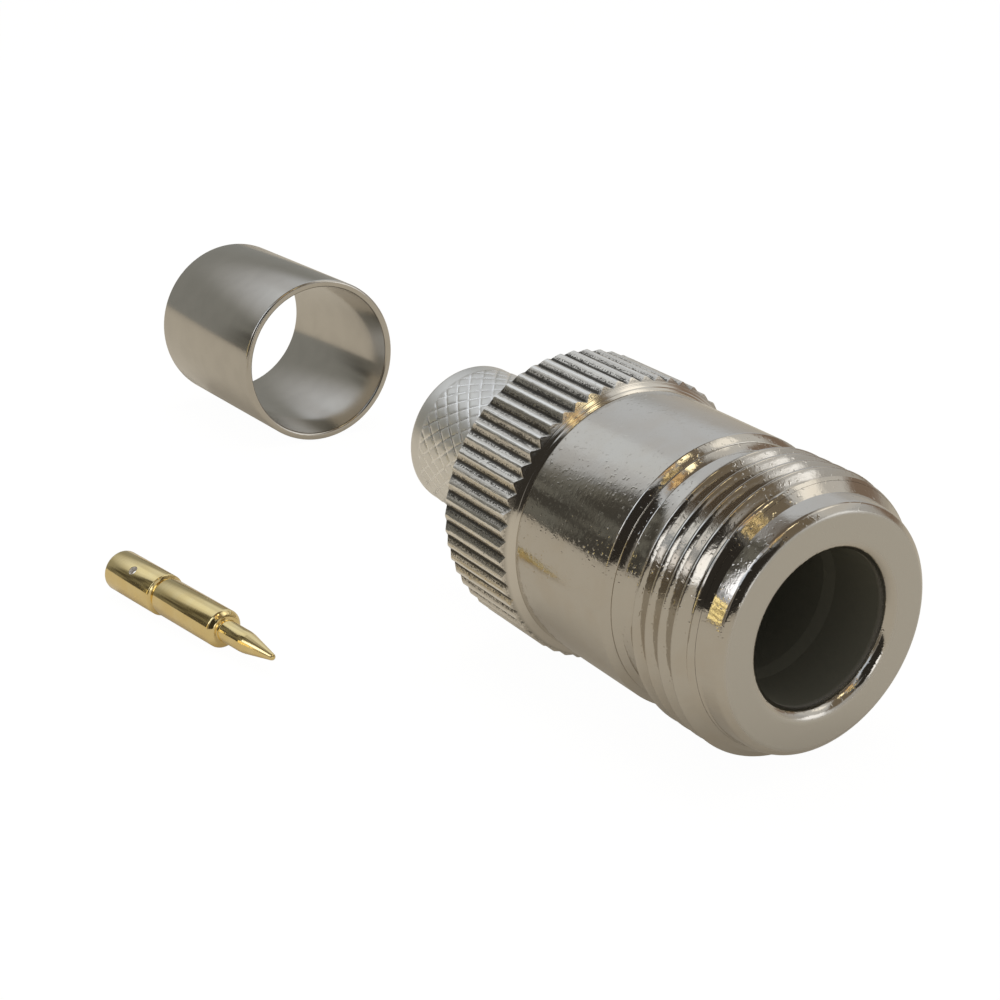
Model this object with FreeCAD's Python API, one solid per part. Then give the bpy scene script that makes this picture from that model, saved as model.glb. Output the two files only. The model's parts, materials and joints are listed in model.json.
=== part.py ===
import FreeCAD, Part
import math
import os

# A screw-on coaxial cable jack of the N size, laid out with the two loose pieces that
# are crimped on when it is fitted to a cable: the crimp ferrule and the centre pin.
# Each turned piece is modelled along +Z, measured back from its own front end, and is
# then laid down so that it rests on the ground as it would by itself.

os.makedirs("parts", exist_ok=True)

# Driving dimensions, in millimetres

# Coupling end of the body
thread_d = 15.875
thread_pitch = 25.4 / 24
thread_depth = 0.62
thread_len = 4.0
groove_half_angle = 30.0
groove_root_w = 0.21
pilot_d = 14.16
pilot_len = 1.39
face_edge_d = 13.0
face_chamfer_len = 0.35
pilot_front_d = 13.88
lead_len = 0.92
relief_d = 14.4
relief_len = 1.5

# Barrel and grip ring
shoulder_d = 15.0
shoulder_step = 0.06
shoulder_low_len = 0.37
shoulder_high_len = 0.41
barrel_d = 15.85
barrel_len = 7.9
ring_d = 17.16
ring_len = 6.6
ring_step_d = 15.9
ring_front_chamfer = 0.71
ring_back_chamfer = 0.25
ring_teeth = 56
tooth_depth = 0.25
tooth_tip_w = 0.1

# Bores of the body
mouth_d = 8.72
mouth_len = 4.2
mouth_lip_r = 0.74
contact_bore_d = 8.2
contact_cone_len = 0.67
coupling_plane = 9.1
conductor_bore_d = 7.0
bead_d = 9.0
bead_start = 11.5
bead_len = 8.0
stem_seat_d = 11.4

# Crimp stem
stem_len = 10.5
stem_crest_d = 9.3
stem_bore_d = 7.5
stem_entry = 0.3
stem_end_plain = 1.1
stem_end_round = 0.35
knurl_start = 0.4
knurl_depth = 0.15
knurl_columns = 29
knurl_rows = 7

# Insulator bead
bead_clearance = 0.02
bead_relief_d = 6.6
bead_relief_len = 0.8

# Centre pin
pin_back_d = 2.66
pin_back_len = 5.1
pin_front_d = 2.4
pin_front_len = 6.35
pin_front_chamfer = 0.28
pin_ring_w = 0.34
pin_ring_depth = 0.16
pin_tip_d = 1.36
pin_tip_len = 4.85
pin_taper_len = 2.7
pin_nose_r = 0.17
cable_core_bore_d = 1.9
cable_core_bore_len = 4.6
sight_hole_d = 0.62
sight_hole_from_ring = 2.45
sight_hole_lean = 36.0
pin_clearance = 0.04

# Crimp ferrule
ferrule_d = 12.76
ferrule_wall = 0.55
ferrule_len = 15.44
ferrule_edge_r = 0.22

# Where the loose pieces lie: the ferrule beyond the stem, and the pin beside the ring
ferrule_beyond_stem = 29.35
ferrule_aside = 4.87
ferrule_turn = -0.2
pin_beside_ring = 9.76
pin_behind_ring = 2.72
pin_turn = 7.9

# Places along the body, measured back from its front face
lead_start = pilot_len
lead_end = lead_start + lead_len
thread_end = lead_end + thread_len
relief_end = thread_end + relief_len
shoulder_mid = relief_end + shoulder_low_len
barrel_start = shoulder_mid + shoulder_high_len
ring_start = barrel_start + barrel_len
ring_end = ring_start + ring_len
bead_end = bead_start + bead_len
stem_end = ring_end + stem_len


def turned(points):
    """A solid of revolution about Z from (radius, height) points."""
    wire = Part.makePolygon([FreeCAD.Vector(r, 0, z) for r, z in points + points[:1]])
    return Part.Face(wire).revolve(FreeCAD.Vector(0, 0, 0), FreeCAD.Vector(0, 0, 1), 360)


def cylinder(diameter, start, end):
    """A plain cylinder on the Z axis between two heights."""
    return Part.makeCylinder(diameter / 2, end - start, FreeCAD.Vector(0, 0, start))


def prism(points, start, end):
    """A straight prism along Z from a closed outline."""
    wire = Part.makePolygon([FreeCAD.Vector(x, y, start) for x, y in points + points[:1]])
    return Part.Face(wire).extrude(FreeCAD.Vector(0, 0, end - start))


def toothed_outline(count, tip_r, root_r, tip_w):
    """Straight V teeth, each with a flat tip and a sharp root, one of them at +Y."""
    outline = []
    half_tip = math.asin(tip_w / 2 / tip_r)
    for i in range(count):
        middle = 2 * math.pi * i / count + math.pi / 2
        root = middle + math.pi / count
        outline.append((tip_r * math.cos(middle - half_tip), tip_r * math.sin(middle - half_tip)))
        outline.append((tip_r * math.cos(middle + half_tip), tip_r * math.sin(middle + half_tip)))
        outline.append((root_r * math.cos(root), root_r * math.sin(root)))
    return outline


def thread_groove():
    """The swept V groove of the coupling thread, running out into free air at both ends.

    Its turns are set so that a full crest meets the end of the lead cone at +Y.
    """
    proud = 0.06
    root_r = thread_d / 2 - thread_depth
    top_r = thread_d / 2 + proud
    slope = math.tan(math.radians(groove_half_angle))
    crest_w = thread_pitch - groove_root_w - 2 * slope * thread_depth
    flare = slope * (thread_depth + proud)
    section = [
        (root_r, -groove_root_w / 2),
        (top_r, -groove_root_w / 2 - flare),
        (top_r, groove_root_w / 2 + flare),
        (root_r, groove_root_w / 2),
    ]
    start = lead_end + crest_w / 2 + thread_pitch / 4 - 2 * thread_pitch
    travel = thread_end + relief_len / 2 - start
    wire = Part.makePolygon([FreeCAD.Vector(r, 0, z) for r, z in section + section[:1]])
    path = Part.makeHelix(thread_pitch, travel, thread_d / 2)
    groove = Part.Wire(path.Edges).makePipeShell([wire], True, True)
    groove.translate(FreeCAD.Vector(0, 0, start))
    return groove


def arc(centre_r, centre_z, size, first, last):
    """Points along a rounded edge of a section, between two angles in degrees."""
    steps = 6
    points = []
    for i in range(steps + 1):
        angle = math.radians(first + (last - first) * i / steps)
        points.append((centre_r + size * math.cos(angle), centre_z + size * math.sin(angle)))
    return points


def make_body():
    """Threaded coupling end, smooth barrel and toothed grip ring, turned from one bar."""
    blank = cylinder(thread_d, 0, relief_end).cut(thread_groove())
    coupling_end = blank.common(turned([
        (0, 0),
        (face_edge_d / 2, 0),
        (pilot_front_d / 2, face_chamfer_len),
        (pilot_d / 2, lead_start),
        (thread_d / 2, lead_end),
        (thread_d / 2, thread_end),
        (relief_d / 2, thread_end + (thread_d - relief_d) / 4),
        (relief_d / 2, relief_end),
        (0, relief_end),
    ]))
    barrel = turned([
        (0, relief_end),
        (relief_d / 2, relief_end),
        (shoulder_d / 2, shoulder_mid),
        (shoulder_d / 2 + shoulder_step, shoulder_mid),
        (barrel_d / 2, barrel_start),
        (barrel_d / 2, ring_start),
        (0, ring_start),
    ])

    envelope = turned([
        (0, ring_start),
        (ring_step_d / 2, ring_start),
        (ring_d / 2, ring_start + ring_front_chamfer),
        (ring_d / 2, ring_end - ring_back_chamfer),
        (ring_d / 2 - ring_back_chamfer, ring_end),
        (0, ring_end),
    ])
    teeth = toothed_outline(ring_teeth, ring_d / 2, ring_d / 2 - tooth_depth, tooth_tip_w)
    ring = envelope.common(prism(teeth, ring_start, ring_end))

    lip = arc(mouth_d / 2 + mouth_lip_r, mouth_lip_r, mouth_lip_r, 270, 180)
    bores = turned([(0, 0)] + lip + [
        (mouth_d / 2, mouth_len),
        (contact_bore_d / 2, mouth_len + contact_cone_len),
        (contact_bore_d / 2, coupling_plane),
        (conductor_bore_d / 2, coupling_plane),
        (conductor_bore_d / 2, bead_start),
        (bead_d / 2, bead_start),
        (bead_d / 2, bead_end),
        (stem_seat_d / 2, bead_end),
        (stem_seat_d / 2, ring_end),
        (0, ring_end),
    ])
    return coupling_end.fuse([barrel, ring]).cut(bores).removeSplitter()


def diamond_sleeve(start, end):
    """A closed solid whose side is covered in small pyramids, with grooves between them."""
    columns = 2 * knurl_columns
    rows = 2 * knurl_rows
    crest_r = stem_crest_d / 2
    root_r = crest_r - knurl_depth

    def corner(row, column):
        angle = 2 * math.pi * (column % columns) / columns
        radius = root_r if (row + column) % 2 == 0 else crest_r
        height = start + (end - start) * row / rows
        return FreeCAD.Vector(radius * math.cos(angle), radius * math.sin(angle), height)

    faces = []
    for row in range(rows):
        for column in range(columns):
            a = corner(row, column)
            b = corner(row, column + 1)
            c = corner(row + 1, column + 1)
            d = corner(row + 1, column)
            if (row + column) % 2 == 0:
                triangles = [(a, b, c), (a, c, d)]
            else:
                triangles = [(a, b, d), (b, c, d)]
            for p, q, r in triangles:
                faces.append(Part.Face(Part.makePolygon([p, q, r, p])))
    for row in (0, rows):
        rim = [corner(row, column) for column in range(columns)]
        faces.append(Part.Face(Part.makePolygon(rim + rim[:1])))
    shell = Part.makeShell(faces)
    shell.sewShape()
    solid = Part.makeSolid(shell)
    if solid.Volume < 0:
        solid.reverse()
    return solid


def make_stem():
    """Knurled tube for the cable braid, with the flange that is pressed into the body."""
    band_start = ring_end + knurl_start
    band_end = stem_end - stem_end_plain
    plain_r = stem_crest_d / 2 - knurl_depth / 2
    rim = arc(plain_r - stem_end_round, stem_end - stem_end_round, stem_end_round, 0, 90)
    core = turned([
        (0, bead_end),
        (stem_seat_d / 2, bead_end),
        (stem_seat_d / 2, ring_end),
        (plain_r, ring_end),
        (plain_r, band_start),
        (0, band_start),
    ])
    tail = turned([(0, band_end), (plain_r, band_end)] + rim + [(0, stem_end)])
    bore = turned([
        (0, bead_end),
        (stem_bore_d / 2, bead_end),
        (stem_bore_d / 2, stem_end - stem_entry),
        (stem_bore_d / 2 + stem_entry, stem_end),
        (0, stem_end),
    ])
    return core.fuse([diamond_sleeve(band_start, band_end), tail]).cut(bore)


def make_bead():
    """White insulator bead with a stepped hole that the pin is pushed into from behind."""
    front_hole = pin_front_d + 2 * pin_clearance
    back_hole = pin_back_d + 2 * pin_clearance
    step = bead_end - pin_back_len
    return turned([
        (front_hole / 2, bead_start + bead_relief_len),
        (bead_relief_d / 2, bead_start),
        (bead_d / 2 - bead_clearance, bead_start),
        (bead_d / 2 - bead_clearance, bead_end),
        (back_hole / 2, bead_end),
        (back_hole / 2, step),
        (front_hole / 2, step),
    ])


def make_pin():
    """Gilt centre pin: pointed tip, front section, thin ring groove and crimp barrel."""
    front_start = pin_tip_len
    ring_at = front_start + pin_front_len
    back_start = ring_at + pin_ring_w
    end = back_start + pin_back_len
    nose = []
    for degrees in range(0, 91, 30):
        angle = math.radians(degrees)
        nose.append((pin_nose_r * math.sin(angle), pin_nose_r * (1 - math.cos(angle))))
    pin = turned(nose + [
        (pin_tip_d / 2, pin_taper_len),
        (pin_tip_d / 2, front_start),
        (pin_front_d / 2 - pin_front_chamfer, front_start),
        (pin_front_d / 2, front_start + pin_front_chamfer),
        (pin_front_d / 2, ring_at),
        (pin_front_d / 2 - pin_ring_depth, ring_at + pin_ring_w / 3),
        (pin_front_d / 2 - pin_ring_depth, ring_at + pin_ring_w * 2 / 3),
        (pin_back_d / 2, back_start),
        (pin_back_d / 2, end),
        (0, end),
    ])
    core_bore = cylinder(cable_core_bore_d, end - cable_core_bore_len, end)
    lean = math.radians(sight_hole_lean)
    sight = Part.makeCylinder(
        sight_hole_d / 2,
        pin_back_d,
        FreeCAD.Vector(0, 0, back_start + sight_hole_from_ring),
        FreeCAD.Vector(-math.sin(lean), -math.cos(lean), 0),
    )
    return pin.cut(core_bore).cut(sight)


def make_ferrule():
    """Thin plain tube with rounded rims, crimped over the cable braid."""
    tube = cylinder(ferrule_d, 0, ferrule_len)
    tube = tube.cut(cylinder(ferrule_d - 2 * ferrule_wall, 0, ferrule_len))
    rims = [edge for edge in tube.Edges if isinstance(edge.Curve, Part.Circle)]
    return tube.makeFillet(min(ferrule_edge_r, 0.45 * ferrule_wall), rims)


def at_rest(front_r, front_z, back_r, back_z):
    """Dip of the front end, and height of the front centre, when both rims touch ground."""
    dip = math.atan2(back_r - front_r, back_z - front_z)
    height = front_r * math.cos(dip) - front_z * math.sin(dip)
    return math.degrees(dip), height


def lay_down(shape, rest, turn, place):
    """Turn a piece built along Z so that its front looks to -Y, then dip and place it."""
    dip, height = rest
    origin = FreeCAD.Vector(0, 0, 0)
    laid = shape.copy()
    laid.rotate(origin, FreeCAD.Vector(1, 0, 0), dip - 90)
    laid.rotate(origin, FreeCAD.Vector(0, 0, 1), turn)
    laid.translate(FreeCAD.Vector(place[0], place[1], height))
    return laid


# The body rests on the first thread crest and the front of the grip ring, the pin on the
# front edges of its two sections, and the ferrule along its whole side
body_rest = at_rest(thread_d / 2, lead_end, ring_d / 2, ring_start + ring_front_chamfer)
pin_rest = at_rest(
    pin_front_d / 2, pin_tip_len + pin_front_chamfer,
    pin_back_d / 2, pin_tip_len + pin_front_len + pin_ring_w,
)
ferrule_rest = at_rest(ferrule_d / 2, 0, ferrule_d / 2, ferrule_len)
body_at = (0, 0)
ferrule_at = (ferrule_aside, stem_end + ferrule_beyond_stem)
pin_tip_at = (-ring_d / 2 - pin_beside_ring, ring_end + pin_behind_ring)

pieces = {
    "connector_body": lay_down(make_body(), body_rest, 0, body_at),
    "crimp_stem": lay_down(make_stem(), body_rest, 0, body_at),
    "insulator_bead": lay_down(make_bead(), body_rest, 0, body_at),
    "centre_pin": lay_down(make_pin(), pin_rest, pin_turn, pin_tip_at),
    "crimp_ferrule": lay_down(make_ferrule(), ferrule_rest, ferrule_turn, ferrule_at),
}

# The origin is on the ground, under the middle of the whole layout
whole = Part.makeCompound(list(pieces.values())).optimalBoundingBox(False, False)
to_origin = FreeCAD.Vector(-whole.Center.x, -whole.Center.y, -whole.ZMin)
for name, shape in pieces.items():
    shape.translate(to_origin)
    shape.exportStep("parts/" + name + ".step")
    print(name, len(shape.Solids), shape.isValid(), round(shape.Volume, 3))
print("body front centre at", list(to_origin), body_rest)
print("pin rest", pin_rest, "ferrule rest", ferrule_rest)
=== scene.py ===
# %% [markdown]
# # A coaxial cable jack with its loose ferrule and pin
#
# A plated brass jack lies on a table with the two pieces that are crimped on when a cable
# is fitted: a thin ferrule and a gilt pin. All of them were turned on a lathe, so nearly
# every piece here starts as one outline that is spun about an axis, and the finishes carry
# the marks that turning, knurling and plating leave.

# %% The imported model
import json
import math

import bmesh
import bpy
from mathutils import Matrix, Vector


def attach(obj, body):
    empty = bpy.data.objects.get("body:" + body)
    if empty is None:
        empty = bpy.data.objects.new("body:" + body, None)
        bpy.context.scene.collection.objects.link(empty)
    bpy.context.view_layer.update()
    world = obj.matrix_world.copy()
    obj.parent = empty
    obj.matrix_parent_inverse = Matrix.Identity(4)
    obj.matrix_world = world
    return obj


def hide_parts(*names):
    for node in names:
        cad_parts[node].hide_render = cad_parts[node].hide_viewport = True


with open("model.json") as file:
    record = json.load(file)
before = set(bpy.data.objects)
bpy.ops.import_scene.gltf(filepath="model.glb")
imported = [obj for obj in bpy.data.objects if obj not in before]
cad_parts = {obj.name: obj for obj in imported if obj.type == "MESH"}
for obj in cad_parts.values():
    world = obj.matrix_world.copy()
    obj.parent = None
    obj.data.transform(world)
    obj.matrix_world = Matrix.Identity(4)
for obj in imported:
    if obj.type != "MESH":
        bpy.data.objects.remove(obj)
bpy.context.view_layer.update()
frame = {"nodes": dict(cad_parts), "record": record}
print("CAD nodes:", ", ".join(sorted(frame["nodes"])))

# %% [markdown]
# ## Where the pieces lie
#
# Each piece is shaped upright, with its front end at the origin and its length along Z, in
# millimetres. It is then laid down like the real one: tipped over, turned on the table and
# moved. The CAD model states where things are fitted to each piece, and such a place lies
# on the piece's axis, so it tells where the axis runs. The same values also tell a finish
# where its piece lies.

# %% Places of the three things on the table
MM = 0.001
# How far behind its piece's front end the middle of each of these mounts lies, in mm
THREAD_MIDDLE, SHANK_MIDDLE, FERRULE_MIDDLE = 4.31, 3.775, 7.72
mounts = {mount["name"]: mount for mount in frame["record"]["mounts"]}


class Berth:
    """The place of an upright piece once it is laid down, read from one mount on its axis."""

    def __init__(self, mount, side, depth):
        backwards = Vector(mounts[mount]["axis"]) * side
        dip = math.asin(backwards.z)
        turn = math.atan2(-backwards.x, backwards.y)
        self.turns = (dip - math.pi / 2, 0, turn)
        self.front = Vector(mounts[mount]["pos_m"]) - backwards * depth * MM
        place = [round(c / MM, 3) for c in self.front]
        print(mount, "front at", place, "dip", round(math.degrees(dip), 3))


JACK = Berth("coupling_thread", -1, THREAD_MIDDLE)
PIN = Berth("mating_pin", -1, SHANK_MIDDLE)
FERRULE = Berth("ferrule_bore", 1, FERRULE_MIDDLE)

# %% [markdown]
# ## Drawing an outline
#
# A turned piece is drawn as half of its section. It could be typed in as a ready mesh, but
# a line that is pulled from corner to corner is how it is done by hand: a vertex is put at
# the first corner and extruded to each of the others.

# %% A line of corners
def nothing_selected():
    if bpy.context.object and bpy.context.object.mode == "EDIT":
        bpy.ops.object.mode_set(mode="OBJECT")
    bpy.ops.object.select_all(action="DESELECT")


def only(piece):
    """Makes a piece the only one that the next operator works on."""
    nothing_selected()
    piece.select_set(True)
    bpy.context.view_layer.objects.active = piece


def outline(name, corners, closed=True):
    """A line of (radius, height) corners beside the Z axis, pulled out of one vertex."""
    nothing_selected()
    bpy.ops.mesh.primitive_circle_add(vertices=3, radius=0.1 * MM)
    piece = bpy.context.object
    piece.name = name
    bpy.ops.object.mode_set(mode="EDIT")
    bpy.ops.mesh.select_all(action="SELECT")
    bpy.ops.mesh.merge(type="CENTER")
    place = (0, 0)
    stops = corners + corners[:1] if closed else corners
    for i, (r, z) in enumerate(stops):
        step = ((r - place[0]) * MM, 0, (z - place[1]) * MM)
        if i == 0:
            bpy.ops.transform.translate(value=step)
        else:
            bpy.ops.mesh.extrude_region_move(TRANSFORM_OT_translate={"value": step})
        place = (r, z)
    bpy.ops.mesh.select_all(action="SELECT")
    bpy.ops.mesh.remove_doubles(threshold=1e-7)
    bpy.ops.object.mode_set(mode="OBJECT")
    print(name, "is drawn with", len(piece.data.vertices), "corners")
    return piece


# %% [markdown]
# ## Rounding, spinning and laying down
#
# Real edges are never sharp: tumbling and plating round them, and each catches a bright
# line. The corners of the outline are rounded before it is spun, which keeps every radius
# exact and gives even quads, and polished metal needs both.

# %% Rounding chosen corners
SAME_PLACE = 0.002


def select_where(piece, wanted):
    """Selects the vertices of a piece whose place in millimetres passes the test."""
    bpy.ops.object.mode_set(mode="EDIT")
    bpy.ops.mesh.select_mode(type="VERT")
    bpy.ops.mesh.select_all(action="DESELECT")
    bpy.ops.object.mode_set(mode="OBJECT")
    for vertex in piece.data.vertices:
        vertex.select = wanted(vertex.co / MM)
    bpy.ops.object.mode_set(mode="EDIT")


def round_corners(piece, width, corners, segments=4):
    """Rounds the named corners of an outline."""
    select_where(piece, lambda p: any(
        math.hypot(p.x - r, p.z - z) < SAME_PLACE for r, z in corners
    ))
    bpy.ops.mesh.bevel(offset=width * MM, segments=segments, affect="VERTICES")
    bpy.ops.object.mode_set(mode="OBJECT")


# %% Spinning an outline and laying a piece down
def spin_round(piece, steps):
    """Turns an outline into a solid of revolution with its faces outwards."""
    bpy.ops.object.mode_set(mode="EDIT")
    bpy.ops.mesh.select_all(action="SELECT")
    bpy.ops.mesh.spin(steps=steps, angle=2 * math.pi, center=(0, 0, 0), axis=(0, 0, 1))
    bpy.ops.mesh.select_all(action="SELECT")
    bpy.ops.mesh.remove_doubles(threshold=1e-7)
    bpy.ops.mesh.normals_make_consistent(inside=False)
    bpy.ops.object.mode_set(mode="OBJECT")


def lay_down(piece, berth, smooth_below=30):
    """Lays an upright piece in its place on the table, with that place in its mesh."""
    only(piece)
    bpy.ops.object.shade_smooth_by_angle(angle=math.radians(smooth_below))
    piece.rotation_euler = berth.turns
    piece.location = berth.front
    bpy.ops.object.transform_apply(location=True, rotation=True, scale=True)
    print(piece.name, "is laid down with", len(piece.data.polygons), "faces")


# %% [markdown]
# ## The jack's sizes
#
# Radii are measured from the jack's axis and heights from its front face, both in
# millimetres. What a plug or a cable touches is read from the CAD model's mounts. The rest
# is what the drawing of such a jack would state.

# %% Radii and heights of the jack
def fitted_r(mount):
    return mounts[mount]["dims"]["r_mm"]


THREAD_R, MOUTH_R, CONTACT_R = (fitted_r(m) for m in ("coupling_thread", "mouth_bore", "contact_bore"))
FACE_EDGE_R, PILOT_FRONT_R, PILOT_R, FACE_CHAMFER = 6.5, 6.94, 7.08, 0.35
LEAD_START, LEAD_END, THREAD_END = 1.39, 2.31, 6.31
ROOT_R, RELIEF_R, SHOULDER_R, BARREL_R = 7.3175, 7.2, 7.5, 7.925
RELIEF_START, RELIEF_END, SHOULDER_MID, BARREL_START = 6.679, 7.81, 8.18, 8.59
RING_START, RING_END = 16.49, 23.09
RING_R, RING_STEP_R, RING_CONE = 8.58, 7.95, 0.71
MOUTH_LIP, MOUTH_END, CONTACT_START, CONTACT_END = 0.74, 4.2, 4.87, 9.1
AIR_R, BEAD_R, BEAD_START, BEAD_END = 3.5, 4.5, 11.5, 17.5
SEAT_R, UNDER_RING_R = 5.7, 7.3
UNDER_THREAD_R = PILOT_R - 0.13
print("mouth", MOUTH_R, "contact", CONTACT_R, "thread", THREAD_R, "length to the ring", RING_START)

# %% [markdown]
# ## The jack's shell
#
# The shell is one bar of brass: a flat front face round the mouth, a polished pilot, room for
# the thread, a relief groove, a stepped shoulder and the long smooth barrel. The mouth has a
# wide rounded lip, which guides the plug in. Thread and ring are made apart and slip over it,
# so the outline dives under both of them.

# %% The shell
ledge = (SHOULDER_R + 0.06, SHOULDER_MID)
shell = outline("jack_shell", [
    (MOUTH_R, 0), (FACE_EDGE_R, 0), (PILOT_FRONT_R, FACE_CHAMFER), (PILOT_R, LEAD_START),
    (UNDER_THREAD_R, LEAD_START + 0.05), (UNDER_THREAD_R, RELIEF_START - 0.05),
    (RELIEF_R, RELIEF_START), (RELIEF_R, RELIEF_END),
    (SHOULDER_R, SHOULDER_MID), ledge, (BARREL_R, BARREL_START),
    (BARREL_R, RING_START), (UNDER_RING_R, RING_START + 0.2), (UNDER_RING_R, BEAD_END),
    (BEAD_R, BEAD_END), (BEAD_R, BEAD_START), (AIR_R, BEAD_START), (AIR_R, CONTACT_END),
    (CONTACT_R, CONTACT_END), (CONTACT_R, CONTACT_START), (MOUTH_R, MOUTH_END),
])
round_corners(shell, MOUTH_LIP, [(MOUTH_R, 0)], segments=12)
round_corners(shell, 0.13, [(FACE_EDGE_R, 0), (PILOT_FRONT_R, FACE_CHAMFER)], segments=5)
round_corners(shell, 0.05, [ledge, (BARREL_R, BARREL_START)])
round_corners(shell, 0.03, [
    (CONTACT_R, CONTACT_START), (MOUTH_R, MOUTH_END), (RELIEF_R, RELIEF_END),
], segments=2)
spin_round(shell, steps=256)
lay_down(shell, JACK)

# %% [markdown]
# ## The section of the thread
#
# A thread could be copied from rings, but then it would not climb. Here one pitch of its
# section is drawn, flat root, flank, flat crest and flank, to be swept up a helix later. Wear
# and plate round the crest, and the cutting tool rounds the root.

# %% One pitch of the thread
PITCH = 25.4 / 24
ROOT_FLAT, FLANK_ANGLE = 0.21, 30
FLANK = math.tan(math.radians(FLANK_ANGLE)) * (THREAD_R - ROOT_R)
CREST_FLAT = PITCH - ROOT_FLAT - 2 * FLANK
print("pitch", round(PITCH, 4), "flat of the crest", round(CREST_FLAT, 4))

crest = [(THREAD_R, ROOT_FLAT / 2 + FLANK), (THREAD_R, ROOT_FLAT / 2 + FLANK + CREST_FLAT)]
feet = [(ROOT_R, ROOT_FLAT / 2), (ROOT_R, PITCH - ROOT_FLAT / 2)]
thread = outline("coupling_thread", [
    (ROOT_R, 0), feet[0], *crest, feet[1], (ROOT_R, PITCH),
], closed=False)
round_corners(thread, 0.075, crest, segments=5)
round_corners(thread, 0.06, feet)
bpy.ops.object.mode_set(mode="EDIT")
bpy.ops.mesh.select_all(action="SELECT")
bpy.ops.mesh.subdivide(number_cuts=3)
bpy.ops.object.mode_set(mode="OBJECT")

# %% [markdown]
# ## Winding the thread up
#
# The Screw modifier sweeps the section up a helix, one pitch for each turn, so that crests
# and roots run on from turn to turn. It leaves a seam between the turns, which is welded. A
# lathe then cuts the cone at the thread's start and the slope at its end: in the mesh that is
# a limit on each vertex's distance from the axis, which changes with its height.

# %% The helix
TURNS, TURNS_BELOW = 9, 3


def use_modifier(piece, kind, **settings):
    """Adds a modifier, applies it, and leaves the piece as a plain mesh."""
    bpy.context.view_layer.objects.active = piece
    modifier = piece.modifiers.new(kind.lower(), kind)
    for name, value in settings.items():
        setattr(modifier, name, value)
    bpy.ops.object.modifier_apply(modifier=modifier.name)


def weld(piece, distance):
    """Merges points that are nearer than a distance in mm, and drops what has no area."""
    only(piece)
    bpy.ops.object.mode_set(mode="EDIT")
    bpy.ops.mesh.select_all(action="SELECT")
    bpy.ops.mesh.remove_doubles(threshold=distance * MM)
    bpy.ops.mesh.select_all(action="SELECT")
    bpy.ops.mesh.dissolve_degenerate(threshold=distance / 2 * MM)
    bpy.ops.object.mode_set(mode="OBJECT")


use_modifier(thread, "SCREW", angle=2 * math.pi, screw_offset=PITCH * MM, iterations=TURNS,
             steps=144, render_steps=144, use_merge_vertices=True, merge_threshold=1e-6)
weld(thread, 0.001)
lift = LEAD_END + CREST_FLAT / 2 + PITCH / 4 - TURNS_BELOW * PITCH
print("the helix has", len(thread.data.vertices), "points")

# %% Turning the cone and the slope
lead_slope = (THREAD_R - PILOT_R) / (LEAD_END - LEAD_START)
end_slope = (THREAD_R - RELIEF_R) / (RELIEF_START - THREAD_END)
for vertex in thread.data.vertices:
    x, y, z = vertex.co / MM
    z += lift
    r = math.hypot(x, y)
    limit = THREAD_R
    if z < LEAD_END:
        limit = THREAD_R - (LEAD_END - z) * lead_slope
    if z > THREAD_END:
        limit = THREAD_R - (z - THREAD_END) * end_slope
    shrink = min(1, max(UNDER_THREAD_R, limit) / r)
    vertex.co = Vector((x * shrink, y * shrink, z)) * MM
print("cone slope", round(lead_slope, 3), "end slope", round(end_slope, 3))

# %% [markdown]
# ## Making the thread solid
#
# So far the thread is a skin. Both ends are cut square with Bisect, and a wall inside it
# joins them, hidden in the shell. Blender can take the inside of such a thin sleeve for its
# outside, so its volume is measured, and a negative one turns the faces round.

# %% Cutting the ends and closing the sleeve
def close_inside(piece, inwards=1.0):
    """Joins the two open ends of a sleeve by a wall inside it, so that it is solid."""
    only(piece)
    bpy.ops.object.mode_set(mode="EDIT")
    bpy.ops.mesh.select_all(action="SELECT")
    bpy.ops.mesh.remove_doubles(threshold=0.001 * MM)
    bpy.ops.mesh.delete_loose()
    bpy.ops.mesh.select_mode(type="EDGE")
    bpy.ops.mesh.select_all(action="DESELECT")
    bpy.ops.mesh.select_non_manifold(
        use_wire=False, use_multi_face=False, use_non_contiguous=False, use_verts=False,
    )
    if inwards != 1:
        bpy.ops.mesh.extrude_edges_move()
        bpy.ops.transform.resize(value=(inwards, inwards, 1), center_override=(0, 0, 0))
    bpy.ops.mesh.bridge_edge_loops()
    bpy.ops.mesh.select_mode(type="VERT")
    bpy.ops.mesh.select_all(action="SELECT")
    bpy.ops.mesh.normals_make_consistent(inside=False)
    skin = bmesh.from_edit_mesh(piece.data)
    volume = skin.calc_volume(signed=True)
    if volume < 0:
        bpy.ops.mesh.flip_normals()
    bpy.ops.object.mode_set(mode="OBJECT")
    print(piece.name, "holds", round(abs(volume) / MM ** 3, 1), "cubic millimetres")


only(thread)
for height, upper in ((LEAD_START, False), (RELIEF_START, True)):
    bpy.ops.object.mode_set(mode="EDIT")
    bpy.ops.mesh.select_all(action="SELECT")
    bpy.ops.mesh.bisect(
        plane_co=(0, 0, height * MM), plane_no=(0, 0, 1),
        clear_outer=upper, clear_inner=not upper,
    )
    bpy.ops.object.mode_set(mode="OBJECT")
close_inside(thread)
lay_down(thread, JACK, smooth_below=38)

# %% [markdown]
# ## The teeth of the grip ring
#
# The ring's teeth are straight V grooves pressed in with a knurling wheel. One tooth is
# drawn, copied round with Spin, filled, and pulled up in short steps into a toothed bar. A
# slight random shift of all points stands for the torn metal.

# %% A toothed bar
TEETH, TOOTH_DEPTH, TIP_W = 56, 0.25, 0.12
BAR_STEPS, BAR_SPARE, TORN = 22, 0.3, 0.012


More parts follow.
